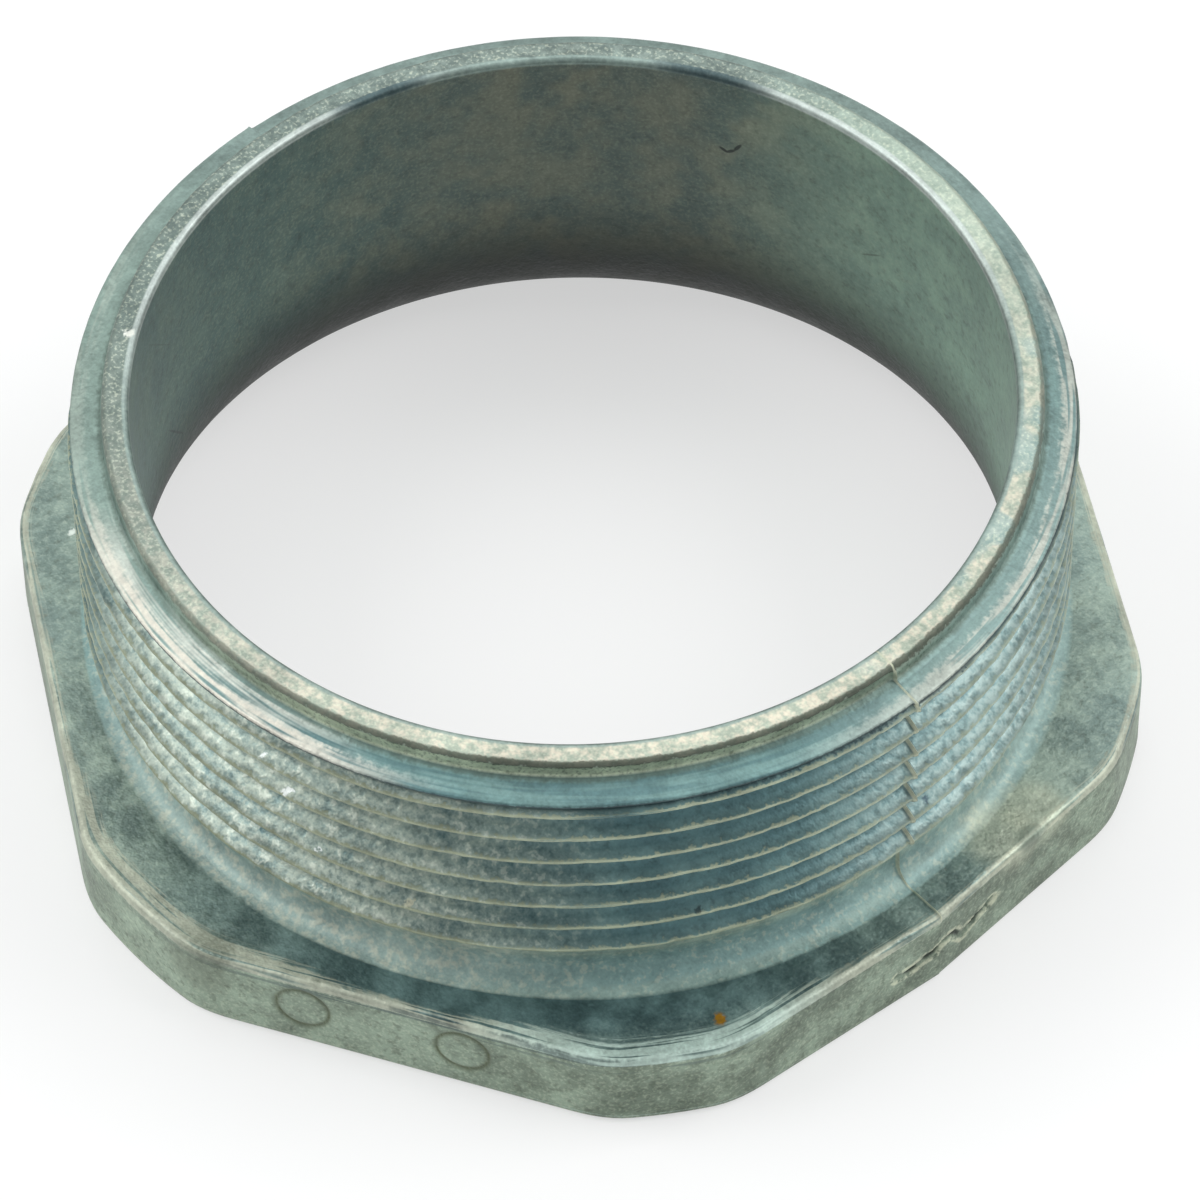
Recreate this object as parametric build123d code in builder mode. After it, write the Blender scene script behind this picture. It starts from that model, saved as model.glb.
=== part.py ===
from build123d import *
import math
import os

# Chase nipple for 3 inch conduit: one zinc die casting with a hexagonal head.
# Millimetres. The head stands on the XY plane and the barrel rises along +Z.
# The two halves of the die met on the XZ plane and drew apart along +Y and -Y.

# Overall
height = 38.1
head_thickness = 9.1

# Bore, a straight hole from the rim down to the throat
bore_radius = 38.9
rim_inner_edge = 0.6

# Throat, the long smooth curve that the wires are pulled over, and the bevel at its foot
throat_curve = 18.0
throat_height = 14.5
throat_bevel = 0.4

# Rim, the plain ring that stands above the thread
rim_wall = 2.4
rim_height = 1.9
rim_outer_edge = 0.3

# Collar, the thin full ring that closes the end of the thread
collar_setback = 0.35
collar_thickness = 0.85
collar_slope = 0.5

# Thread, 3.5 inch across the crests and 8 threads to the inch, right hand
barrel_wall = 5.55
thread_pitch = 3.175
thread_depth = 1.9
thread_angle = 60
crest_width = 0.35
groove_run_in = 2.46
groove_clearance = 0.25

# Neck, the plain stretch between the thread and the head
neck_relief = 0.15
neck_length = 4.5
neck_cove = 2.2
cove_bevels = 3
run_out_angle = 60

# Head, a hexagon that fits round a circle and has turned corners
flat_count = 6
seat_width = 3.85
corner_reach = 3.5
corner_blend = 14.0
parting_draft = 4.5
head_top_edge = 0.4
head_bottom_edge = 0.6

# How near to a named radius a corner lies when it is picked by it
nearness = 0.01

# Radii that follow from those
rim_radius = bore_radius + rim_wall
thread_radius = bore_radius + barrel_wall
root_radius = thread_radius - thread_depth
neck_radius = root_radius - neck_relief
collar_radius = thread_radius - collar_setback
apothem = thread_radius + seat_width
corner_radius = apothem + corner_reach

# Heights, angles and counts that follow from those
shoulder_height = height - rim_height
collar_edge_height = shoulder_height - collar_slope
collar_bottom = shoulder_height - collar_thickness
neck_top = head_thickness + neck_length
thread_bottom = neck_top + (thread_radius - neck_radius) / math.tan(math.radians(run_out_angle))
flank = math.tan(math.radians(thread_angle / 2))
root_width = thread_pitch - crest_width - 2 * thread_depth * flank
groove_reach = thread_depth + groove_clearance
groove_start = neck_top - groove_run_in
groove_end = shoulder_height + thread_pitch / 2
groove_turns = math.ceil((groove_end - groove_start) / thread_pitch)
throat_turn = math.asin((throat_height - throat_bevel) / throat_curve)
bevel_angle = (math.pi / 2 - throat_turn) / 2
half_turn = 180
flat_turn = 2 * half_turn / flat_count


def throat_point(turn, along=0):
    """Point of the throat's curve after a turn from the bore's wall, or one along its tangent there."""
    radius = bore_radius + throat_curve * (1 - math.cos(turn)) + along * math.sin(turn)
    return (radius, throat_height - throat_curve * math.sin(turn) - along * math.cos(turn))


def cove_point(step):
    """Point of the cove's arc, which is made as a few straight bevels from the neck to the head."""
    angle = math.pi / 2 * step / cove_bevels
    radius = neck_radius + neck_cove * (1 - math.cos(angle))
    return (radius, head_thickness + neck_cove * (1 - math.sin(angle)))


# The throat's curve is a cubic with two handles of this length, which keeps it on the arc
throat_handle = 4 / 3 * math.tan(throat_turn / 4) * throat_curve
mouth_radius = throat_point(throat_turn)[0] + throat_bevel / math.tan(bevel_angle)


def flat_corner(angle, next_angle):
    """Point where two flats meet, each touching the circle that fits inside the head."""
    reach = apothem / math.cos(math.radians((next_angle - angle) / 2))
    middle = math.radians((angle + next_angle) / 2)
    return (reach * math.cos(middle), reach * math.sin(middle))


# One turn of the thread's groove, swept along its helix
with BuildPart() as groove_turn:
    with BuildLine():
        groove_path = Helix(thread_pitch, thread_pitch, root_radius)
    with BuildSketch(Plane(origin=groove_path @ 0, x_dir=(1, 0, 0), z_dir=groove_path % 0)):
        with BuildLine():
            Polyline(
                (0, root_width / 2),
                (0, -root_width / 2),
                (groove_reach, -root_width / 2 - groove_reach * flank),
                (groove_reach, root_width / 2 + groove_reach * flank),
                close=True,
            )
        make_face()
    sweep(path=groove_path, is_frenet=True)

with BuildPart() as nipple_body:
    # Head: six flats, of which the two that the parting line crosses are drafted
    # both ways from it, with corners turned to one circle and blended into the flats
    half_of_flats = [parting_draft, flat_turn, 2 * flat_turn, half_turn - parting_draft]
    flats = half_of_flats + [half_turn + angle for angle in half_of_flats]
    next_flats = flats[1:] + [2 * half_turn + flats[0]]
    with BuildSketch():
        with BuildLine():
            Polyline(*[flat_corner(a, b) for a, b in zip(flats, next_flats)], close=True)
        make_face()
        Circle(corner_radius, mode=Mode.INTERSECT)
        corners = vertices().filter_by(lambda v: abs(math.hypot(v.X, v.Y) - corner_radius) < nearness)
        fillet(corners, radius=corner_blend)
    extrude(amount=head_thickness)
    chamfer(faces().sort_by(Axis.Z)[-1].edges(), length=head_top_edge)
    chamfer(faces().sort_by(Axis.Z)[0].edges(), length=head_bottom_edge)

    # Barrel blank: the neck, the run-out of the thread and the thread's full diameter
    with BuildSketch(Plane.XZ):
        with BuildLine():
            Polyline(
                *[cove_point(step) for step in range(cove_bevels, -1, -1)],
                (neck_radius, neck_top),
                (thread_radius, thread_bottom),
                (thread_radius, collar_bottom),
                (rim_radius, shoulder_height),
                (0, shoulder_height),
                (0, 0),
                (neck_radius + neck_cove, 0),
                close=True,
            )
        make_face()
    revolve(axis=Axis.Z)

    # Thread: the groove is cut turn by turn, from the neck to above the shoulder
    for turn in range(groove_turns):
        with Locations((0, 0, groove_start + turn * thread_pitch)):
            add(groove_turn.part, mode=Mode.SUBTRACT)

    # Collar and rim, a full ring over the end of the groove
    with BuildSketch(Plane.XZ):
        with BuildLine():
            Polyline(
                (bore_radius, collar_bottom),
                (collar_radius, collar_bottom),
                (collar_radius, collar_edge_height),
                (rim_radius, shoulder_height),
                (rim_radius, height),
                (bore_radius, height),
                close=True,
            )
        make_face()
    revolve(axis=Axis.Z)

    # Bore and throat, left by one core
    with BuildSketch(Plane.XZ):
        with BuildLine():
            Bezier(
                throat_point(0),
                throat_point(0, throat_handle),
                throat_point(throat_turn, -throat_handle),
                throat_point(throat_turn),
            )
            Polyline(
                throat_point(throat_turn),
                (mouth_radius, 0),
                (0, 0),
                (0, height),
                (bore_radius, height),
                throat_point(0),
            )
        make_face()
    revolve(axis=Axis.Z, mode=Mode.SUBTRACT)
    rim_edges = edges().filter_by_position(Axis.Z, height, height).sort_by(SortBy.RADIUS)
    chamfer(rim_edges[0], length=rim_inner_edge)
    rim_edges = edges().filter_by_position(Axis.Z, height, height).sort_by(SortBy.RADIUS)
    chamfer(rim_edges[-1], length=rim_outer_edge)

nipple_body.part.label = "nipple_body"
os.makedirs("parts", exist_ok=True)
export_step(nipple_body.part, "parts/nipple_body.step")
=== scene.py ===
import math

import bmesh
import bpy
import numpy as np
from mathutils import Matrix, Vector


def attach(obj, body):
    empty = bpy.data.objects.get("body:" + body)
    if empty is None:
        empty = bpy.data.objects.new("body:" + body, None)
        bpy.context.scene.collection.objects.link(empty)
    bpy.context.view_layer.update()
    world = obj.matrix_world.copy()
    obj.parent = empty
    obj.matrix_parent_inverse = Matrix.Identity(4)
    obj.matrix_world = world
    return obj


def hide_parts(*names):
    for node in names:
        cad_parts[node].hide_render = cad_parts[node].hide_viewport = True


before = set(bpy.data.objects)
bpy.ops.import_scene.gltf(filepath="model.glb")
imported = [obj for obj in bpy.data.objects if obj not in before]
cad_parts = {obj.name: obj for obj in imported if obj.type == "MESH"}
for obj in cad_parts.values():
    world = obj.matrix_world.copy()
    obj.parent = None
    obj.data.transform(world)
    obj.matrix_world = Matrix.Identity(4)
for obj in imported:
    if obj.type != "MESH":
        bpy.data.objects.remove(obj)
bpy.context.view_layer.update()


# The casting: one piece of zinc alloy, shot into a die whose two halves parted on the XZ plane.
# A hexagonal head, a neck, a right-hand thread, a thin collar and a plain rim stand in one line, and
# one core left the bore and the long throat curve. Lengths are in millimetres until the mesh is made.
MILLIMETRE = 0.001
height = 38.1
head_thickness = 9.1

# Bore and throat
bore_radius = 38.9
throat_curve = 18.0
throat_height = 14.5
throat_bevel = 0.4

# Rim, and the collar below it
rim_wall = 2.4
rim_height = 1.9
rim_inner_edge = 0.55
rim_outer_edge = 0.4
collar_setback = 0.35
collar_thickness = 0.85
collar_slope = 0.5

# Thread and neck
barrel_wall = 5.55
thread_pitch = 3.175
thread_depth = 1.9
thread_angle = 60
crest_width = 0.35
first_crest = 34.95
run_out_angle = 60
neck_relief = 0.15
neck_length = 4.5
neck_cove = 2.2

# Head
seat_width = 3.85
corner_reach = 3.5
corner_softness = 0.97
parting_draft = 4.5
head_top_edge = 0.6
head_bottom_edge = 0.8

# Radii, heights and slopes that follow from those
rim_radius = bore_radius + rim_wall
thread_radius = bore_radius + barrel_wall
collar_radius = thread_radius - collar_setback
neck_radius = thread_radius - thread_depth - neck_relief
apothem = thread_radius + seat_width
corner_radius = apothem + corner_reach
shoulder_height = height - rim_height
collar_edge_height = shoulder_height - collar_slope
collar_bottom = shoulder_height - collar_thickness
neck_top = head_thickness + neck_length
flank_slope = math.tan(math.radians(thread_angle / 2))
run_out_slope = math.tan(math.radians(run_out_angle))

# The die's halves sat a little out of line: by so much across, in height, and on the head. The thin
# flash that they left on the barrel's front, back and head has its own heights and widths
die_slip = 0.15
die_lift = 0.17
head_slip = 0.06
fin_height = 0.27
fin_width = 0.13
back_fin_width = 0.14
back_fin_share = 0.3
head_fin_height = 0.16

# Two plain round ejector marks on one flat: how far along it they lie, their height above the floor,
# and the size of the fine groove round each and of the disc inside it
mark_flat = -60.0
mark_places = (-9.12, 5.69)
mark_height = 5.1
mark_radius = 2.45
mark_line = 0.24
mark_depth = 0.16
mark_sink = 0.04

# The cold flow line across a parted flat: its route as distance along the flat and height, its groove,
# the lip that was pushed up beside it and the dents about it
cold_line = ((-4.8, 3.95), (-3.1, 3.9), (-1.9, 4.3), (-0.65, 4.25), (0.1, 4.9), (1.2, 5.0), (1.8, 4.85),
             (2.9, 3.5), (3.8, 4.05), (4.9, 4.55), (6.1, 4.75), (6.8, 4.9))
cold_line_width = 0.3
cold_line_depth = 0.55
cold_lip_place = 0.6
cold_lip_width = 0.3
cold_lip_height = 0.08
dent_reach = 0.9
dent_depth = 0.25

# Wear: how far the crests are rubbed down everywhere, in rough places and in broad patches, how
# uneven the cast skin is on the barrel and on the flats, and how far the rim's and the head's faces lie
# below their true height, at most and at least
crest_wear = 0.05
rough_wear = 0.12
patch_wear = 0.1
barrel_skin = 0.014
flat_skin = 0.02
rim_sink = 0.13
head_sink = 0.05
least_sink = 0.02

# The mesh's columns in degrees: the even step, the finer steps over the flow line and the round marks,
# the spans that those cover, the steps beside a parting line, and the least step that is kept
column_step = 1.0
cold_line_step = 0.25
cold_line_span = (-6.8, 9.2)
mark_step = 0.28
mark_span = 3.9
parting_steps = (0.04, 0.1, 0.18, 0.28, 0.42, 0.6)
least_step = 0.035

# A distance that is farther than anything on the part
far_off = 99.0


def column_angles():
    """Angles of the mesh's columns in degrees, from 90 round to 450: even steps, with finer steps
    added round the two parting lines, the cold flow line and the two round marks."""
    parting = np.array(parting_steps)
    parting = np.concatenate([-parting, [0.0], parting])
    mark_angles = [mark_flat + math.degrees(math.atan(place / apothem)) for place in mark_places]
    parts = [np.arange(90.0, 450.0, column_step), parting + 180.0, parting + 360.0]
    parts.append(360.0 + np.arange(*cold_line_span, cold_line_step))
    parts += [360.0 + angle + np.arange(-mark_span, mark_span, mark_step) for angle in mark_angles]
    angles = np.sort(np.concatenate(parts))
    kept = np.concatenate([[True], np.diff(angles) > least_step])
    return np.append(angles[kept], 450.0)


degrees = column_angles()
turn = np.radians(degrees)
upper_half = np.sin(turn) > 0


def hill(distance, width):
    """A smooth hill of height one: the exponential of minus the distance over the width, squared."""
    return np.exp(-((distance / width) ** 2))


def ease(value, low, high):
    """Goes smoothly from 0 at low to 1 at high, by the cubic 3t squared less 2t cubed."""
    part = np.clip((value - low) / (high - low), 0, 1)
    return part * part * (3 - 2 * part)


# What scatters the grain's values: a weight for each axis, one for the seed and one for the sine
axis_scatter = (127.1, 311.7, 74.7)
seed_scatter = 19.19
sine_scatter = 43758.5453


def grain(points, size, seed):
    """Smooth random field from -1 to 1: a value at each corner of a lattice of cubes, which is the
    fraction of a large multiple of a sine, blended between the corners with 3t squared less 2t cubed."""
    low = [np.floor(axis / size) for axis in points]
    part = [axis / size - floor for axis, floor in zip(points, low)]
    part = [share * share * (3 - 2 * share) for share in part]
    total = np.zeros_like(points[0])
    for corner in np.ndindex(2, 2, 2):
        weight = np.ones_like(total)
        mixed = np.full_like(total, seed_scatter * seed)
        for floor, share, step, scatter in zip(low, part, corner, axis_scatter):
            weight = weight * (share if step else 1 - share)
            mixed = mixed + (floor + step) * scatter
        total = total + weight * np.modf(np.sin(mixed) * sine_scatter)[0]
    return total


def along(first, last, count):
    """Evenly spaced values from first to last, one for a ring, carried round all the mesh's columns. A
    zone starts and ends a little off its neighbours' rings, so that the shading turns over that gap."""
    return np.linspace(first, last, count)[:, None] + 0 * turn


def head_outline():
    """Radius of the head: the nearest of its eight flats, each counted within 60 degrees of its middle,
    joined softly to the corners' circle. Where the two differ by less than the softness, the radius drops
    by a quarter of it times the overlap squared. One half of the head is slipped along the parting."""
    half = [parting_draft, 60.0, 120.0, 180.0 - parting_draft]
    flats = np.radians(half + [180.0 + angle for angle in half])[:, None]
    facing = np.maximum(np.cos(turn - flats), 0.5)
    flat = (apothem / facing).min(0)
    overlap = np.maximum(corner_softness - np.abs(flat - corner_radius), 0) / corner_softness
    radius = np.minimum(flat, corner_radius) - overlap**2 * corner_softness / 4
    side = np.where(upper_half, 1, -1)
    return radius - head_slip * (1 + side * np.cos(turn)) / 2 * ease(np.abs(np.sin(turn)), 0.9, 0.2)


outline = head_outline()


def arc(start, end, count):
    """Sines and cosines of evenly spaced angles of an arc."""
    angle = along(start, end, count)
    return np.sin(angle), np.cos(angle)


def throat_zone():
    """From the mouth up: a small bevel, then the arc that turns from the mouth to the bore's wall."""
    last = math.asin((throat_height - throat_bevel) / throat_curve)
    sine, cosine = arc(last, 0, 13)
    radius = bore_radius + throat_curve * (1 - cosine)
    mouth = radius[0, 0] + throat_bevel / math.tan((math.pi / 2 - last) / 2)
    bevel = along(mouth, radius[0, 0], 3)[:-1]
    level = along(0, throat_bevel, 3)[:-1]
    return np.vstack([bevel, radius]), np.vstack([level, throat_height - throat_curve * sine])


def bore_zone():
    """The straight wall, a cylinder."""
    level = along(throat_height + 3.0, height - rim_inner_edge - 0.25, 6)
    return bore_radius + 0 * level, level


def rim_zone():
    """The inner rounding, a quarter circle, the level land and the outer rounding."""
    sine, cosine = arc(0, math.pi / 2, 6)
    inner = bore_radius + rim_inner_edge * (1 - cosine)
    land = along(bore_radius + rim_inner_edge + 0.25, rim_radius - rim_outer_edge - 0.15, 6)
    outer_sine, outer_cosine = arc(0, math.pi / 2, 4)
    outer = rim_radius - rim_outer_edge * (1 - outer_sine)
    inner_level = height - rim_inner_edge * (1 - sine)
    outer_level = height - rim_outer_edge * (1 - outer_cosine)
    return np.vstack([inner, land, outer]), np.vstack([inner_level, height + 0 * land, outer_level])


def rim_wall_zone():
    """The plain wall of the rim, down to its foot."""
    level = along(height - rim_outer_edge - 0.3, shoulder_height + 0.2, 4)
    return rim_radius + 0 * level, level


def collar_zone():
    """The shoulder that slopes out from the rim's foot, a small rounding, and the collar's short wall."""
    share = along(0.05, 0.94, 5)
    radius = rim_radius + share * (collar_radius - rim_radius)
    level = shoulder_height - share * (shoulder_height - collar_edge_height)
    wall = along(collar_edge_height - 0.06, collar_bottom + 0.03, 2)
    return np.vstack([radius, collar_radius + 0 * wall]), np.vstack([level, wall])


def crest_line():
    """Height of the thread's first crest: it rises by one pitch in a turn, and the die's halves differ."""
    rise = thread_pitch * (degrees - 360.0) / 360.0
    return first_crest + rise + np.where(upper_half, die_lift, -die_lift)


def crest_distance(level):
    """Distance in height from the nearest crest: the remainder by the pitch, measured from its middle."""
    return np.abs((level - crest_line() + thread_pitch / 2) % thread_pitch - thread_pitch / 2)


def thread_radius_at(level):
    """Radius of the thread at a height: full at a crest, then down the flank by the distance from the
    crest over the flank's slope, to the root at most, and never outside the cone of the run-out."""
    depth = np.clip((crest_distance(level) - crest_width / 2) / flank_slope, 0, thread_depth)
    run_out = neck_radius + (level - neck_top) * run_out_slope
    return np.minimum(thread_radius - depth, np.maximum(run_out, neck_radius))


# Steps of height from one crest down to the next: close together at the crest, and one at each corner of
# the root and at its middle. Then how many turns of them go down from the first crest
level_steps = np.array([0, 0.12, 0.22, 0.7, 1.272, 1.5875, 1.903, 2.475, 2.955, 3.055])
turns_down = 9


def thread_levels():
    """Heights that follow the helix: each turn has the same few steps down from its crest, and what
    would lie above the collar or below the neck is drawn onto them."""
    steps = (level_steps + thread_pitch * np.arange(-1, turns_down)[:, None]).ravel()
    return crest_line() - steps[:, None]


def thread_zone():
    """The thread, with the collar's underside as its first ring."""
    level = np.clip(thread_levels(), neck_top, collar_bottom)
    radius = thread_radius_at(level)
    under = collar_bottom + 0 * turn[None]
    under_radius = np.maximum(thread_radius_at(under), collar_radius)
    return np.vstack([under_radius, radius]), np.vstack([under, level])


def neck_zone():
    """The plain neck, then the cove at its foot, a quarter circle."""
    plain = along(neck_top - 0.4, head_thickness + neck_cove + 0.3, 4)
    sine, cosine = arc(0, math.pi / 2, 8)
    radius = np.vstack([neck_radius + 0 * plain, neck_radius + neck_cove * (1 - cosine)])
    return radius, np.vstack([plain, head_thickness + neck_cove * (1 - sine)])


def head_top_zone():
    """The head's upper face, from the cove out to the outline, and the rounding of its top edge."""
    foot = neck_radius + neck_cove
    share = along(0.08, 0.97, 7)
    face = foot + share * (outline - head_top_edge - foot)
    sine, cosine = arc(0, math.pi / 2, 5)
    edge = outline - head_top_edge * (1 - sine)
    edge_level = head_thickness - head_top_edge * (1 - cosine)
    return np.vstack([face, edge]), np.vstack([head_thickness + 0 * face, edge_level])


def head_side_zone():
    """The head's side, with finer rings over the height of the cold flow line and the round marks."""
    top = head_thickness - head_top_edge - 0.2
    coarse_top = np.linspace(top, 7.9, 2)
    coarse_bottom = np.linspace(2.0, head_bottom_edge + 0.2, 3)
    steps = np.concatenate([coarse_top, np.arange(7.6, 2.4, -0.2), coarse_bottom])
    level = steps[:, None] + 0 * turn
    return outline + 0 * level, level


def head_bottom_zone():
    """The rounding of the bottom edge and the flat face out of which the throat opens."""
    sine, cosine = arc(0, math.pi / 2, 5)
    edge = outline - head_bottom_edge * (1 - cosine)
    face = outline - head_bottom_edge
    mouth = throat_zone()[0][0]
    inner = face + along(0.3, 0.85, 3) * (mouth - face)
    return np.vstack([edge, inner]), np.vstack([head_bottom_edge * (1 - sine), 0 * inner])


zones = {
    "throat": throat_zone(), "bore": bore_zone(), "rim": rim_zone(), "wall": rim_wall_zone(),
    "collar": collar_zone(), "thread": thread_zone(), "neck": neck_zone(), "head_top": head_top_zone(),
    "side": head_side_zone(), "bottom": head_bottom_zone(),
}
radius = np.vstack([zone[0] for zone in zones.values()])
level = np.vstack([zone[1] for zone in zones.values()])
ring_zone = np.concatenate([[name] * len(zone[0]) for name, zone in zones.items()])[:, None]


def within(*names):
    """One on the rings of the named zones and nought elsewhere."""
    return np.isin(ring_zone, names) * np.ones_like(radius)


place = (radius * np.cos(turn), radius * np.sin(turn), level)
from_parting = (degrees % 360 + 180) % 360 - 180
degree_length = math.radians(1) * thread_radius
near_front = hill(from_parting * degree_length, fin_width)
near_back = hill((np.abs(from_parting) - 180) * degree_length, back_fin_width)

# Where the shape is worked on: the crests, also under the collar, fine roughness and broad patches
above_neck = ease(level, neck_top + 0.7, neck_top + 1.3)
crest = within("thread") * ease(crest_distance(level), 0.32, 0.17) * above_neck
under_collar = within("thread") * ease(level, collar_bottom - 0.28, collar_bottom - 0.05)
crest = np.maximum(crest, under_collar * 0.8)
rough = grain(place, 1.3, 1) + 0.6 * grain(place, 0.6, 2)
waves = grain(place, 7.0, 3)

# Distance of each point on a parted flat from the cold flow line
flat_side = place[1]
cold_distance = np.full_like(radius, far_off)
for (from_side, from_level), (to_side, to_level) in zip(cold_line, cold_line[1:]):
    run_side = to_side - from_side
    run_level = to_level - from_level
    share = (flat_side - from_side) * run_side + (level - from_level) * run_level
    share = np.clip(share / (run_side**2 + run_level**2), 0, 1)
    gap = np.hypot(flat_side - from_side - share * run_side, level - from_level - share * run_level)
    cold_distance = np.minimum(cold_distance, gap)
on_front_flat = within("side") * (np.cos(turn) > 0.9)
pits = ease(grain(place, 1.1, 8), -0.35, 0.45)
cold_gap = on_front_flat * hill(cold_distance, cold_line_width) * (0.25 + 0.75 * pits)
cold_lip = on_front_flat * hill(cold_distance - cold_lip_place, cold_lip_width)

# The round marks: a fine groove round a slightly sunken disc
marks = np.zeros_like(radius)
mark_disc = np.zeros_like(radius)
for mark_place in mark_places:
    across = radius * np.sin(turn - math.radians(mark_flat)) - mark_place
    distance = np.hypot(across, level - mark_height)
    facing = within("side") * (np.cos(turn - math.radians(mark_flat)) > 0.8)
    marks = np.maximum(marks, facing * hill(distance - mark_radius, mark_line))
    mark_disc = np.maximum(mark_disc, facing * ease(distance, mark_radius, mark_radius - 0.5))

# What is pushed out or in: the halves' slip, the flash along the parting, wear and small damage
barrel = within("wall", "collar", "thread", "neck")
slip = barrel * die_slip * np.where(upper_half, 1, -1) * np.cos(turn)
slip = slip * ease(level, head_thickness, head_thickness + 1.0) * ease(level, height, height - 1.2)
fin_wave = 0.75 + 0.45 * grain((0 * level, 0 * level, level), 1.4, 4)
fin = fin_height * fin_wave * barrel * (near_front + back_fin_share * near_back)
worn = crest * (crest_wear + rough_wear * ease(rough, -0.1, 0.9) + patch_wear * ease(waves, 0.1, 0.8))
skin = barrel_skin * rough * within("thread", "collar") + flat_skin * rough * within("side", "wall")
dents = on_front_flat * hill(cold_distance, dent_reach) * ease(grain(place, 1.6, 9), 0.1, 0.7)
radius = radius + slip + fin - worn + skin - dent_depth * dents
radius = radius - cold_line_depth * cold_gap + cold_lip_height * cold_lip
radius = radius - mark_depth * marks - mark_sink * mark_disc
rim_rough = 0.5 + 0.5 * np.clip(grain(place, 0.9, 5) + 0.7 * grain(place, 2.6, 6), -1, 1)
sunk = (least_sink + rim_sink * rim_rough) * ease(radius, bore_radius + 0.2, bore_radius + 1.0)
level = level - within("rim") * sunk
sunk = (least_sink + head_sink * (1 + rough)) * ease(radius, neck_radius + neck_cove, apothem)
level = level - within("head_top") * sunk
level = level + within("head_top") * (head_fin_height * near_front - least_sink)
radius = np.minimum(radius, np.where(within("side", "head_top", "bottom") > 0, outline, far_off))

# What the finish reads at each point: which part of the casting it is on, how far it lies from the
# head's top edge (half, and a tenth for each millimetre, more on the top face), and the small forms
edge_middle = 0.5
edge_share = 0.1
from_edge = np.where(within("side") > 0, level - head_thickness, 5.0)
from_edge = np.where(within("head_top") > 0, outline - radius, from_edge)
point_looks = {
    "inside": within("throat", "bore"),
    "rim_face": within("rim"),
    "rim_wall": within("wall"),
    "band": within("collar"),
    "thread": within("thread") * above_neck,
    "neck": np.maximum(within("neck"), within("thread") * (1 - above_neck)),
    "head_face": within("head_top"),
    "head_side": within("side", "bottom"),
    "from_edge": edge_middle + edge_share * from_edge,
    "flash": within("wall", "collar", "thread", "neck", "head_top", "rim") * near_front,
    "pit": np.maximum(cold_gap, 0.25 * mark_disc * pits),
    "torn": cold_lip,
    "mark_line": marks,
}


merge_distance = 0.002 * MILLIMETRE


def sheet_mesh(name, radius, level, looks):
    """A closed skin from rings of radius and height: each point goes to radius times cosine and sine of
    its column's angle. The last ring joins the first, and points that fall together are merged."""
    rings, columns = radius.shape
    points = np.stack([radius * np.cos(turn), radius * np.sin(turn), level], -1).reshape(-1, 3) * MILLIMETRE
    ring = np.arange(rings)[:, None]
    column = np.arange(columns - 1)[None, :]
    lower = ring * columns + column
    upper = (ring + 1) % rings * columns + column
    quads = np.stack([lower, upper, upper + 1, lower + 1], -1).reshape(-1, 4)
    mesh = bpy.data.meshes.new(name)
    mesh.vertices.add(len(points))
    mesh.vertices.foreach_set("co", points.ravel())
    mesh.loops.add(quads.size)
    mesh.loops.foreach_set("vertex_index", quads.ravel())
    mesh.polygons.add(len(quads))
    mesh.polygons.foreach_set("loop_start", np.arange(0, quads.size, 4))
    mesh.update(calc_edges=True)
    for look, values in looks.items():
        layer = mesh.attributes.new(look, "FLOAT", "POINT")
        layer.data.foreach_set("value", np.clip(values, 0, 1).astype(np.float32).ravel())
    merged = bmesh.new()
    merged.from_mesh(mesh)
    bmesh.ops.remove_doubles(merged, verts=merged.verts, dist=merge_distance)
    bmesh.ops.dissolve_degenerate(merged, edges=merged.edges, dist=merge_distance / 2)
    merged.to_mesh(mesh)
    merged.free()
    mesh.polygons.foreach_set("use_smooth", np.ones(len(mesh.polygons), bool))
    mesh.update()
    return bpy.data.objects.new(name, mesh)


casting = sheet_mesh("casting", radius, level, point_looks)
bpy.context.scene.collection.objects.link(casting)


class Field:
    """One socket of a material. Sums, differences and products of fields and numbers add their Math
    nodes. A field without a socket only adds nodes."""

    def __init__(self, tree, socket=None):
        self.tree = tree
        self.socket = socket

    def node(self, kind, settings=None, inputs=None, output=0):
        """Adds a node of a kind, makes its settings, then feeds its sockets with values or fields."""
        made = self.tree.nodes.new(kind)
        for name, value in (settings or {}).items():
            setattr(made, name, value)
        for name, value in (inputs or {}).items():
            if isinstance(value, Field):
                self.tree.links.new(value.socket, made.inputs[name])
            else:
                made.inputs[name].default_value = value
        return Field(self.tree, made.outputs[output] if made.outputs else None)

    def math(self, operation, *values):
        """A Math node of fields and numbers."""
        return self.node("ShaderNodeMath", {"operation": operation}, dict(enumerate(values)))

    def __add__(self, other):
        return self.math("ADD", self, other)

    def __radd__(self, other):
        return self.math("ADD", other, self)

    def __sub__(self, other):
        return self.math("SUBTRACT", self, other)

    def __rsub__(self, other):
        return self.math("SUBTRACT", other, self)

    def __mul__(self, other):
        return self.math("MULTIPLY", self, other)

    def __rmul__(self, other):
        return self.math("MULTIPLY", other, self)

    def within(self, low, high, most=1.0):
        """Goes smoothly from 0 to its most as the field goes from low to high."""
        values = {"Value": self, "From Min": low, "From Max": high, "To Max": most}
        return self.node("ShaderNodeMapRange", {"interpolation_type": "SMOOTHSTEP"}, values)

    def clipped(self):
        """Kept between 0 and 1."""
        return self.node("ShaderNodeClamp", inputs={"Value": self})

    def over(self, colour, under):
        """The colour laid over another one, as thick as this field says. A Mix node takes colours at its
        sockets 6 and 7 and gives them at its third output."""
        return self.node("ShaderNodeMix", {"data_type": "RGBA"}, {0: self, 6: under, 7: colour}, 2)


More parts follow.
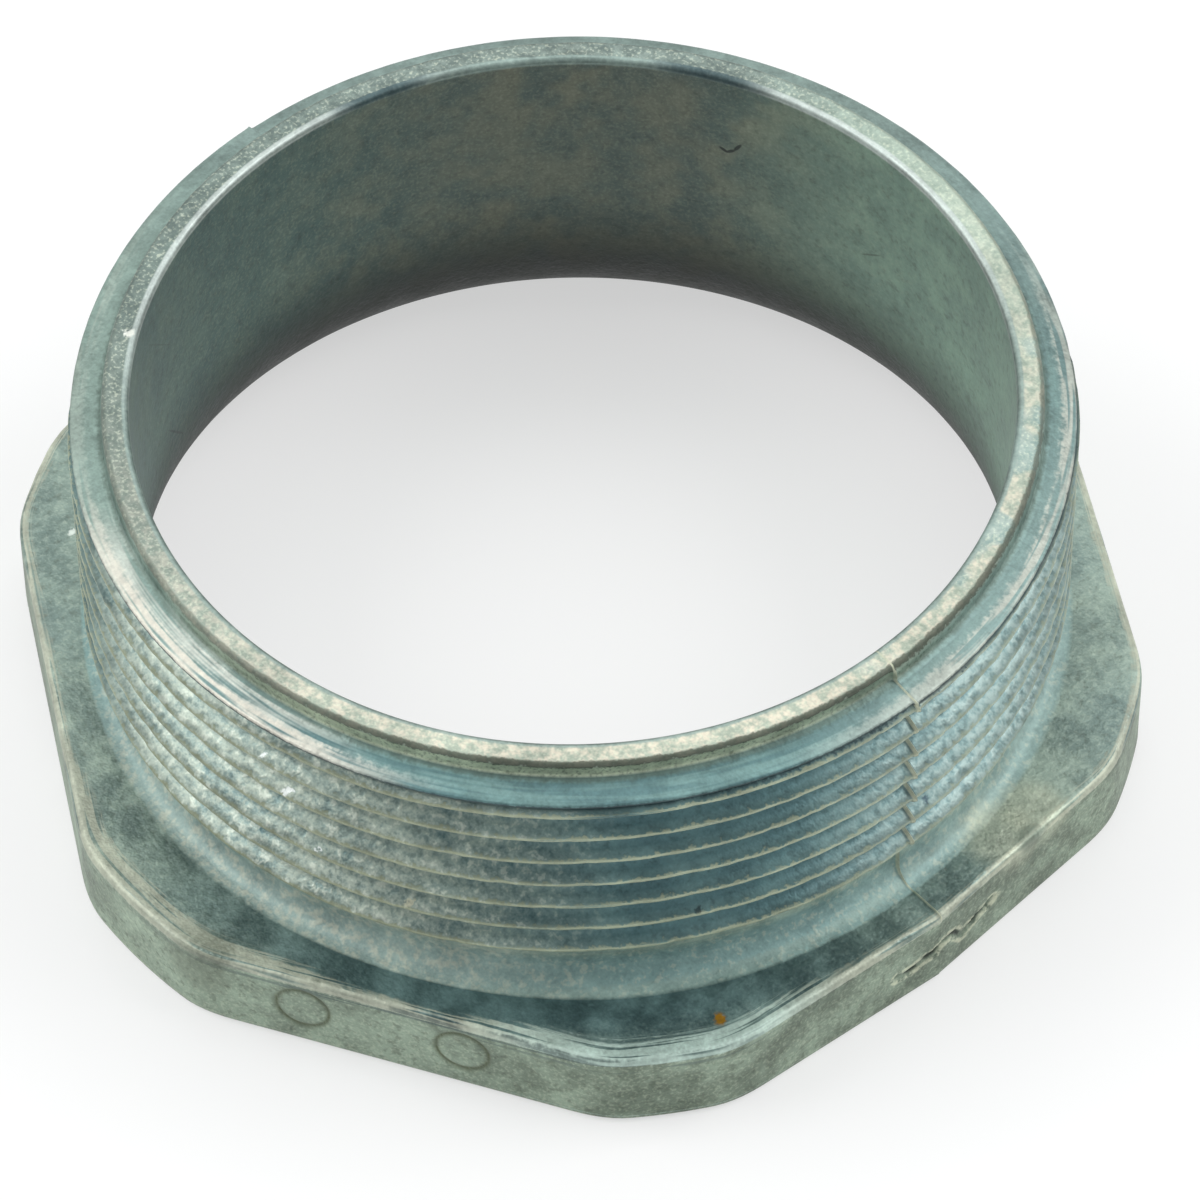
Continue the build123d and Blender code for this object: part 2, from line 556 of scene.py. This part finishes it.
def tone(red, green, blue):
    """A colour written as it looks on a screen, from 0 to 255, turned to the light that it stands for."""
    shares = [value / 255 for value in (red, green, blue)]
    light = [share / 12.92 if share < 0.04045 else ((share + 0.055) / 1.055) ** 2.4 for share in shares]
    return light + [1.0]


# Streaks that run round the axis: the radius of the circle that they are read on, and how much finer
# they are across than along
streak_circle = 45.0
streak_fineness = 26.0

# How high the finish's fine relief is
relief_height = 0.2 * MILLIMETRE

# Blots and nicks on the skin, and three painted glints on the thread: where each lies, how far it reaches,
# how thick it is and its colour
blots = (
    ((45.3, 10.0, 9.1), 4.4, 0.6, tone(200, 204, 182)),
    ((45.2, 14.2, 9.1), 4.0, 0.55, tone(194, 199, 176)),
    ((47.6, 12.0, 9.1), 2.2, 0.6, tone(96, 110, 100)),
    ((7.5, -50.6, 6.8), 4.2, 0.4, tone(104, 112, 96)),
    ((-36.1, -29.3, 9.1), 0.6, 0.9, tone(214, 222, 214)),
    ((-31.0, -24.9, 38.1), 0.7, 0.9, tone(222, 224, 216)),
    ((43.5, -21.8, 9.1), 0.9, 0.95, tone(176, 124, 20)),
    ((21.6, -38.3, 18.8), 0.55, 0.9, tone(208, 208, 184)),
    # Painted glints on the thread's left side
    ((11.4, -42.2, 28.4), 0.5, 0.9, tone(236, 240, 238)),
    ((13.9, -41.7, 21.9), 0.35, 0.9, tone(226, 232, 230)),
    ((8.9, -42.8, 31.5), 0.3, 0.9, tone(226, 232, 230)),
    ((43.7, 2.2, 19.8), 0.8, 0.8, tone(62, 80, 94)),
    ((39.1, -20.1, 19.1), 0.45, 0.8, tone(46, 62, 66)),
)

# Scratches in the bore: from where, to where, how wide and how thick
scratches = (
    ((-18.55, 34.19, 28.71), (-17.95, 34.51, 28.3), 0.24, 0.9),
    ((-17.95, 34.51, 28.3), (-17.35, 34.82, 28.75), 0.24, 0.9),
    ((-17.35, 34.82, 28.75), (-16.73, 35.12, 29.81), 0.24, 0.9),
    ((-31.81, -22.39, 33.7), (-34.82, -17.35, 27.09), 0.15, 0.5),
    ((-33.55, -19.7, 18.15), (-35.39, -16.14, 13.06), 0.16, 0.6),
    ((-4.37, 38.65, 22.52), (-1.69, 38.86, 24.38), 0.15, 0.5),
)


def zinc_skin():
    """Dull zinc: blue-grey metal under a grey-green bloom, teal and smooth in the thread's hollows, dark
    in the bore, and rubbed to rough beige on the crests, the rim and the head's edges."""
    material = bpy.data.materials.new("zinc_skin")
    material.use_nodes = True
    tree = material.node_tree
    tree.nodes.clear()
    start = Field(tree)
    look = {}
    for name in point_looks:
        look[name] = start.node("ShaderNodeAttribute", {"attribute_name": name}, output="Fac")

    def vector(operation, *values, output=0):
        """A Vector Math node of fields and vectors."""
        return start.node("ShaderNodeVectorMath", {"operation": operation}, dict(enumerate(values)), output)

    # Places in millimetres: the point, its height, its distance from the axis, and its angle round it
    at = vector("MULTIPLY", start.node("ShaderNodeTexCoord", output="Object"), (1 / MILLIMETRE,) * 3)
    across, depth, level = (vector("DOT_PRODUCT", at, axis, output="Value") for axis in np.eye(3).tolist())
    outward = vector("MULTIPLY", at, (1, 1, 0))
    reach = vector("LENGTH", outward, output="Value")
    outward = vector("NORMALIZE", outward)
    crest_level = start.math("ARCTAN2", depth, across) * (thread_pitch / math.tau) + first_crest
    crest_level = crest_level + start.math("SIGN", depth) * die_lift
    gap = start.math("PINGPONG", level - crest_level, thread_pitch / 2)

    def towards(angle, width, most=1.0):
        """Its most towards an angle round the axis, and nought more than a width from it, in degrees."""
        facing = (math.cos(math.radians(angle)), math.sin(math.radians(angle)), 0)
        turned_to = vector("DOT_PRODUCT", outward, facing, output="Value")
        return turned_to.within(math.cos(math.radians(width)), 1, most)

    def cloud(scale, detail, rough=0.6, where=at):
        """Noise with about so many patches to the millimetre."""
        values = {"Vector": where, "Scale": scale, "Detail": detail, "Roughness": rough}
        return start.node("ShaderNodeTexNoise", inputs=values, output="Fac")

    def streaks(height):
        """Noise drawn out round the axis, and fine across it along a height."""
        lift = start.node("ShaderNodeCombineXYZ", inputs={"Z": height * streak_fineness})
        circle = vector("MULTIPLY", outward, (streak_circle, streak_circle, 0))
        return cloud(0.1, 1.0, 0.6, vector("ADD", circle, lift))

    broad = cloud(0.045, 1.0)
    patches = cloud(0.2, 2.0, 0.7)
    specks = cloud(1.2, 2.0, 0.7)
    fine = cloud(3.0, 1.0, 0.6)
    ring_streaks = streaks(level + reach)
    from_edge = (look["from_edge"] - edge_middle) * (1 / edge_share)
    edge_streaks = streaks(from_edge)
    wobble = (specks - 0.5) * 1.0 + (fine - 0.5) * 0.5

    # Sides of the casting: rubbed, and lighter with painted light, to the left; painted shade at the front;
    # paler to the right; creamy on the rim's front and grey at the back
    rubbed_and_lit_side = towards(-80, 46)
    front_shade_side = towards(-50, 62)
    pale_side = towards(18, 36)
    cream_side = towards(-20, 130)
    back_side = towards(139, 100)

    # Ground colour of the skin
    colour = patches.within(0.36, 0.64).over(tone(156, 172, 159), tone(124, 142, 134))
    colour = broad.within(0.45, 0.62, 0.5).over(tone(132, 153, 149), colour)
    colour = towards(-160, 60, 0.4).over(tone(112, 132, 126), colour)
    colour = specks.within(0.5, 0.68, 0.18).over(tone(188, 198, 182), colour)
    colour = fine.within(0.5, 0.72, 0.2).over(tone(190, 198, 182), colour)
    colour = specks.within(0.42, 0.3, 0.28).over(tone(104, 112, 98), colour)

    # The head's side, and its top face, which has painted shade, dark and bluish, at the front
    side = patches.within(0.32, 0.68).over(tone(139, 155, 138), tone(110, 125, 109))
    # Painted light: the head's side is lighter to the left
    side = (rubbed_and_lit_side * 0.35).over(tone(166, 184, 166), side)
    side = fine.within(0.46, 0.7, 0.3).over(tone(184, 192, 172), side)
    side = specks.within(0.46, 0.32, 0.4).over(tone(94, 106, 90), side)
    colour = look["head_side"].over(side, colour)
    # Painted shade, a dark reflection, on the top face: strongest at the front and by the cove
    shaded = patches.within(0.3, 0.7).over(tone(98, 125, 125), tone(78, 102, 104))
    by_cove = (reach + wobble * 3).within(neck_radius + neck_cove + 7, neck_radius + neck_cove + 2, 0.5)
    by_cove = front_shade_side * by_cove + towards(-42, 46, 0.4) + 0.1
    colour = (look["head_face"] * by_cove).over(shaded, colour)

    # The neck, with the faint start of one more crest across it, a painted teal highlight low down, and
    # painted light to the left
    neck = patches.within(0.35, 0.65).over(tone(166, 186, 172), tone(146, 170, 160))
    # Painted highlight: teal low on the neck
    neck = level.within(12.2, 11.2, 0.8).over(tone(138, 171, 171), neck)
    neck = ring_streaks.within(0.5, 0.68, 0.5).over(tone(118, 150, 150), neck)
    neck = ((gap + wobble * 0.4).within(0.3, 0.05) * 0.35).over(tone(176, 190, 176), neck)
    neck = towards(26, 40, 0.7).over(tone(160, 182, 176), neck)
    neck = (back_side * 0.5).over(tone(148, 162, 152), neck)
    neck = specks.within(0.52, 0.66, 0.5).over(tone(184, 190, 174), neck)
    # Painted light: the neck is paler to the left
    neck = (rubbed_and_lit_side * 0.55).over(tone(168, 182, 174), neck)
    neck = (rubbed_and_lit_side * specks.within(0.42, 0.62, 0.45)).over(tone(194, 194, 176), neck)
    colour = look["neck"].over(neck, colour)

    # The thread: smooth teal flanks, paler towards the hollows with painted light, paler to the right,
    # scuffed and lighter with painted light and painted glints to the left, and rubbed crests
    # Painted light: the flank is paler towards the hollow, against the shade that falls there
    flank = gap.within(0.25, 1.0).over(tone(105, 140, 145), tone(93, 121, 121))
    flank = patches.within(0.42, 0.66, 0.35).over(tone(112, 143, 142), flank)
    right_paleness = pale_side * (0.35 + specks.within(0.36, 0.6) * 0.5 - gap.within(0.5, 1.0) * 0.2)
    flank = right_paleness.over(tone(154, 171, 167), flank)
    flank = (back_side * 0.6).over(tone(124, 140, 134), flank)
    # Scuffs to the left, which also carry painted light there
    scuffs_and_light = rubbed_and_lit_side * (specks * 0.5 + fine * 0.3 + ring_streaks * 0.2).within(0.38, 0.58)
    # Painted light: broad lighter patches on the flanks to the left
    flank = (rubbed_and_lit_side * patches.within(0.2, 0.6)).over(tone(142, 158, 151), flank)
    flank = (scuffs_and_light * 0.45).over(tone(190, 196, 180), flank)
    # Painted glints: small near-white specks on the threads to the left
    flank = (towards(-72, 40) * specks.within(0.56, 0.66, 0.5)).over(tone(200, 206, 194), flank)
    flank = specks.within(0.44, 0.3, 0.25).over(tone(74, 92, 92), flank)
    colour = look["thread"].over(flank, colour)
    rubbed = look["thread"] * (gap + wobble * 0.6).within(0.32, 0.14)
    rubbed = rubbed * ring_streaks.within(0.2, 0.42) * (1 - pale_side * 0.35)
    crest_tone = rubbed_and_lit_side.over(tone(150, 156, 130), tone(176, 184, 158))
    colour = (rubbed * 0.85).over(crest_tone, colour)

    # The collar's sloping band with a painted highlight on the left, its dark foot, a painted shadow under
    # the collar, and its rubbed outer edge, brightened to the sides with painted highlight
    band = ring_streaks.within(0.35, 0.65).over(tone(114, 146, 144), tone(92, 124, 126))
    band = towards(139, 125, 0.8).over(tone(138, 154, 147), band)
    band = (pale_side * 0.6).over(tone(146, 168, 162), band)
    band = towards(-128, 55, 0.8).over(tone(144, 164, 154), band)
    # Painted highlight: cream streaks across the band to the left
    band = (towards(-91, 27) * ring_streaks.within(0.34, 0.62)).over(tone(208, 212, 203), band)
    colour = look["band"].over(band, colour)
    foot = look["band"] * (reach + wobble * 0.5).within(rim_radius + 0.7, rim_radius + 0.2)
    colour = (foot * 0.7).over(tone(98, 116, 106), colour)
    # The rubbed outer edge, made brighter to the left and right as painted highlight
    outer_band = (reach + wobble * 1.5).within(collar_radius - 1.5, collar_radius - 0.7)
    sides = towards(-88, 34, 0.9) + towards(-130, 40, 0.15) + towards(30, 50, 0.6)
    outer_band = look["band"] * outer_band * sides * ring_streaks.within(0.34, 0.52)
    colour = outer_band.over(tone(206, 202, 190), colour)
    # Painted shadow under the collar's overhang, on the band's underside and the first flank
    under = (level + wobble * 0.3).within(collar_bottom - 0.55, collar_bottom - 0.3)
    under = under * (level + wobble * 0.3).within(collar_bottom + 0.3, collar_bottom + 0.15)
    under = under * (look["band"] + look["thread"] * (gap + wobble).within(0.25, 0.45))
    colour = (under * 0.85).over(tone(56, 74, 78), colour)

    # The rim: a cream face, a smooth inner edge with painted highlights and painted dark reflections, and a
    # painted shadow line under its torn outer edge
    cream = specks.within(0.35, 0.65).over(tone(212, 206, 188), tone(172, 184, 168))
    dull = specks.within(0.35, 0.65).over(tone(134, 149, 142), tone(114, 130, 125))
    dull = towards(60, 60).over(tone(166, 184, 170), dull)
    dull = towards(-140, 60, 0.6).over(tone(104, 120, 114), dull)
    face = cream_side.over(cream, dull)
    face = (towards(30, 45) * patches.within(0.46, 0.56, 0.7)).over(tone(134, 160, 158), face)
    face = fine.within(0.5, 0.7, 0.5).over(tone(196, 202, 184), face)
    colour = look["rim_face"].over(face, colour)
    # Painted light: the wall is much paler towards the front, against the shade that falls there
    wall = towards(-45, 60).over(tone(206, 216, 190), tone(140, 160, 152))
    wall = fine.within(0.48, 0.3, 0.4).over(tone(110, 122, 104), wall)
    colour = look["rim_wall"].over(wall, colour)
    # Painted shadow under the rim's torn outer edge, strongest at the front
    edge_shadow = (level + wobble * 1.2).within(height - 0.8, height - 0.5)
    edge_shadow = edge_shadow * (reach + wobble * 0.5).within(rim_radius - 0.5, rim_radius - 0.25)
    edge_shadow = edge_shadow * (cream_side * 0.7 + 0.2)
    colour = (edge_shadow * (look["rim_wall"] + look["rim_face"])).over(tone(74, 82, 70), colour)
    bevel = look["rim_face"] * (reach + wobble * 0.1).within(bore_radius + 0.72, bore_radius + 0.5)
    # Painted highlights on the inner edge, towards the back
    bevel_highlight = towards(193, 44, 0.8) + towards(92, 40, 0.8)
    bevel_tone = bevel_highlight.over(tone(196, 204, 200), tone(140, 158, 152))
    # Painted dark reflections along two short stretches of the inner edge
    bevel_tone = (towards(165, 9) + towards(120, 10)).over(tone(74, 94, 98), bevel_tone)
    colour = (bevel * 0.9).over(bevel_tone, colour)

    # The bore, dark and clouded, bluish to the left, with painted light to the right and painted shade low
    # in the throat
    deep = patches.within(0.35, 0.65).over(tone(117, 120, 104), tone(88, 105, 100))
    deep = broad.within(0.4, 0.6, 0.4).over(tone(98, 112, 104), deep)
    deep = towards(-150, 60, 0.6).over(tone(68, 106, 102), deep)
    # Painted light: paler on the bore's right side
    deep = towards(65, 60, 0.8).over(tone(130, 162, 145), deep)
    deep = fine.within(0.48, 0.7, 0.25).over(tone(142, 150, 134), deep)
    deep = specks.within(0.45, 0.3, 0.25).over(tone(78, 88, 82), deep)
    # Painted shade: much darker low down in the throat
    deep = level.within(throat_height + 7, throat_height - 7, 0.95).over(tone(20, 28, 24), deep)
    colour = look["inside"].over(deep, colour)

    # The head's worn top edge, widest at the corners and streaked along itself
    corner = towards(-33, 22)
    worn_width = 0.9 + corner * 1.5 + towards(-88, 24) * 1.6
    worn_edge = (from_edge + (edge_streaks - 0.5) * 2.5 + wobble).within(worn_width + 0.3, worn_width - 0.4)
    worn_edge = worn_edge * (from_edge + wobble).within(-0.9, -0.4) * edge_streaks.within(0.36, 0.46)
    edge_tone = corner.over(tone(194, 214, 204), tone(194, 197, 178))
    colour = (worn_edge * 0.8).over(edge_tone, colour)
    scored = (from_edge + wobble).within(-2.2, -1.2) * (from_edge + wobble).within(0.6, 0.0)
    scored = scored * towards(-52, 46) * edge_streaks.within(0.5, 0.6)
    colour = (scored * 0.7).over(tone(84, 102, 100), colour)

    # The flash, the flow line's torn lips and pits, and the lines of the round marks
    colour = (look["flash"].within(0.35, 0.9) * 0.8).over(tone(194, 198, 174), colour)
    torn = look["torn"].within(0.2, 0.8) * specks.within(0.36, 0.56)
    colour = (torn * 0.8).over(tone(198, 202, 178), colour)
    colour = (look["mark_line"] * (specks + 0.4)).clipped().over(tone(84, 92, 68), colour)
    colour = (look["pit"].within(0.15, 0.6) * 0.9).over(tone(52, 60, 54), colour)

    stained = (patches - 0.5) * 2.5 + wobble
    stained = vector("ADD", at, start.node("ShaderNodeCombineXYZ", inputs=dict.fromkeys("XYZ", stained)))
    for spot, size, thickness, paint in blots:
        distance = vector("DISTANCE", stained, spot, output="Value")
        colour = distance.within(size, 0.45 * size, thickness).over(paint, colour)
    for first, last, width, thickness in scratches:
        run = Vector(last) - Vector(first)
        middle = (Vector(last) + Vector(first)) / 2
        lie = run.to_track_quat("X", "Z").to_euler()
        reach_out = (run.length / 2 + width, width, width)
        values = {"Vector": at, "Location": middle, "Rotation": lie, "Scale": reach_out}
        shrunk = start.node("ShaderNodeMapping", {"vector_type": "TEXTURE"}, values)
        distance = vector("LENGTH", shrunk, output="Value")
        colour = distance.within(1.0, 0.5, thickness).over(tone(40, 48, 46), colour)

    # A light and dark grain over the whole skin
    grain_gain = fine * 0.45 + specks * 0.55 + patches * 0.8 + 0.1
    gain = start.node("ShaderNodeCombineXYZ", inputs=dict.fromkeys("XYZ", grain_gain))
    colour = vector("MULTIPLY", colour, gain)

    # Dull and rough where it is rubbed, dirty or oxidised, and more metallic in the smooth hollows
    dull = look["rim_face"] * 0.6 + rubbed * 0.4 + look["inside"] * 0.4 + torn * 0.5
    dull = dull + (look["head_side"] + look["band"]) * 0.3 + look["neck"] * 0.5
    dull = dull + worn_edge * 0.4 - bevel * 0.5
    roughness = 0.42 + dull * 0.22 + (fine - 0.5) * 0.25 + patches.within(0.4, 0.7) * 0.08
    metallic = 0.7 - dull * 0.5 - patches.within(0.45, 0.7) * 0.15
    strength = 0.5 - (look["neck"] + look["thread"]) * 0.15 - bevel * 0.3
    strength = strength - look["rim_face"] * (0.35 - cream_side * 0.25)
    values = {"Strength": strength, "Distance": relief_height, "Height": specks * 0.9}
    bump = start.node("ShaderNodeBump", inputs=values)
    values = {"Base Color": colour, "Roughness": roughness, "Metallic": metallic, "Normal": bump}
    shader = start.node("ShaderNodeBsdfPrincipled", inputs=values)
    start.node("ShaderNodeOutputMaterial", inputs={"Surface": shader})
    return material


casting.data.materials.append(zinc_skin())
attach(casting, "root")
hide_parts("nipple_body")


# The floor: a plain pale sheet under the part, in metres, large enough to fill every view. It keeps the
# part's shadow, and it glows a little to the camera and in reflections, so that it looks nearly white.
floor_half = 3.0
floor_tone = tone(250, 250, 250)
floor_glow = 0.6


def floor_sheet():
    """A square of four points round the origin."""
    corners = floor_half * np.array([[-1, -1, 0], [1, -1, 0], [1, 1, 0], [-1, 1, 0]], float)
    mesh = bpy.data.meshes.new("floor")
    mesh.from_pydata(corners.tolist(), [], [[0, 1, 2, 3]])
    material = bpy.data.materials.new("floor")
    material.use_nodes = True
    material.node_tree.nodes.clear()
    start = Field(material.node_tree)
    sheet = start.node("ShaderNodeBsdfDiffuse", inputs={"Color": floor_tone})
    glow = start.node("ShaderNodeEmission", inputs={"Color": floor_tone, "Strength": 1.0})
    rays = ("Is Camera Ray", "Is Glossy Ray", "Is Transmission Ray")
    camera_ray, glossy_ray, clear_ray = (start.node("ShaderNodeLightPath", output=ray) for ray in rays)
    seen = (camera_ray + glossy_ray + clear_ray).clipped() * floor_glow
    shader = start.node("ShaderNodeMixShader", inputs={0: seen, 1: sheet, 2: glow})
    start.node("ShaderNodeOutputMaterial", inputs={"Surface": shader})
    mesh.materials.append(material)
    return bpy.data.objects.new("floor", mesh)


floor = floor_sheet()
bpy.context.scene.collection.objects.link(floor)


# The light: two equal soft boxes to the left and to the right of the part and a weaker one behind it,
# which stand above the part and face its middle, and an even pale room round it all. A box has its
# place and its width in metres, and its power in watts.
lamp_plan = (
    ("left", (-0.55, -0.54, 0.85), 0.7, 6.5),
    ("right", (0.45, 0.62, 0.85), 0.7, 6.5),
    ("back", (-0.42, 0.36, 1.0), 0.7, 3.0),
)
for name, spot, size, power in lamp_plan:
    data = bpy.data.lights.new(name, "AREA")
    data.shape = "SQUARE"
    data.size = size
    data.energy = power
    lamp = bpy.data.objects.new(name, data)
    lamp.location = spot
    aim = Vector((0, 0, height * MILLIMETRE / 2)) - Vector(spot)
    lamp.rotation_euler = aim.to_track_quat("-Z", "Y").to_euler()
    bpy.context.scene.collection.objects.link(lamp)

room_light = (0.96, 1.0, 1.0, 1.0)
room_strength = 0.45
world = bpy.data.worlds.new("room")
world.use_nodes = True
room = world.node_tree.nodes["Background"]
room.inputs["Color"].default_value = room_light
room.inputs["Strength"].default_value = room_strength
bpy.context.scene.world = world


# The camera: a long lens looking down on the part across its bore, as the photograph does. Its place is
# in metres, its turns in degrees, and its lens and sensor in millimetres.
camera_spot = (0.33222, -0.28544, 0.56092)
camera_heading = 49.05
camera_tilt = 38.396
camera_roll = -0.749
camera_lens = 233.57
camera_sensor = 36.0
camera_nearest = 0.01

camera_data = bpy.data.cameras.new("camera")
camera_data.sensor_width = camera_sensor
camera_data.lens = camera_lens
camera_data.clip_start = camera_nearest
camera = bpy.data.objects.new("camera", camera_data)
heading = Matrix.Rotation(math.radians(camera_heading), 4, "Z")
tilt = Matrix.Rotation(math.radians(camera_tilt), 4, "X")
roll = Matrix.Rotation(math.radians(camera_roll), 4, "Z")
camera.matrix_world = Matrix.Translation(camera_spot) @ heading @ tilt @ roll
bpy.context.scene.collection.objects.link(camera)
bpy.context.scene.camera = camera
bpy.context.scene.view_settings.view_transform = "Standard"
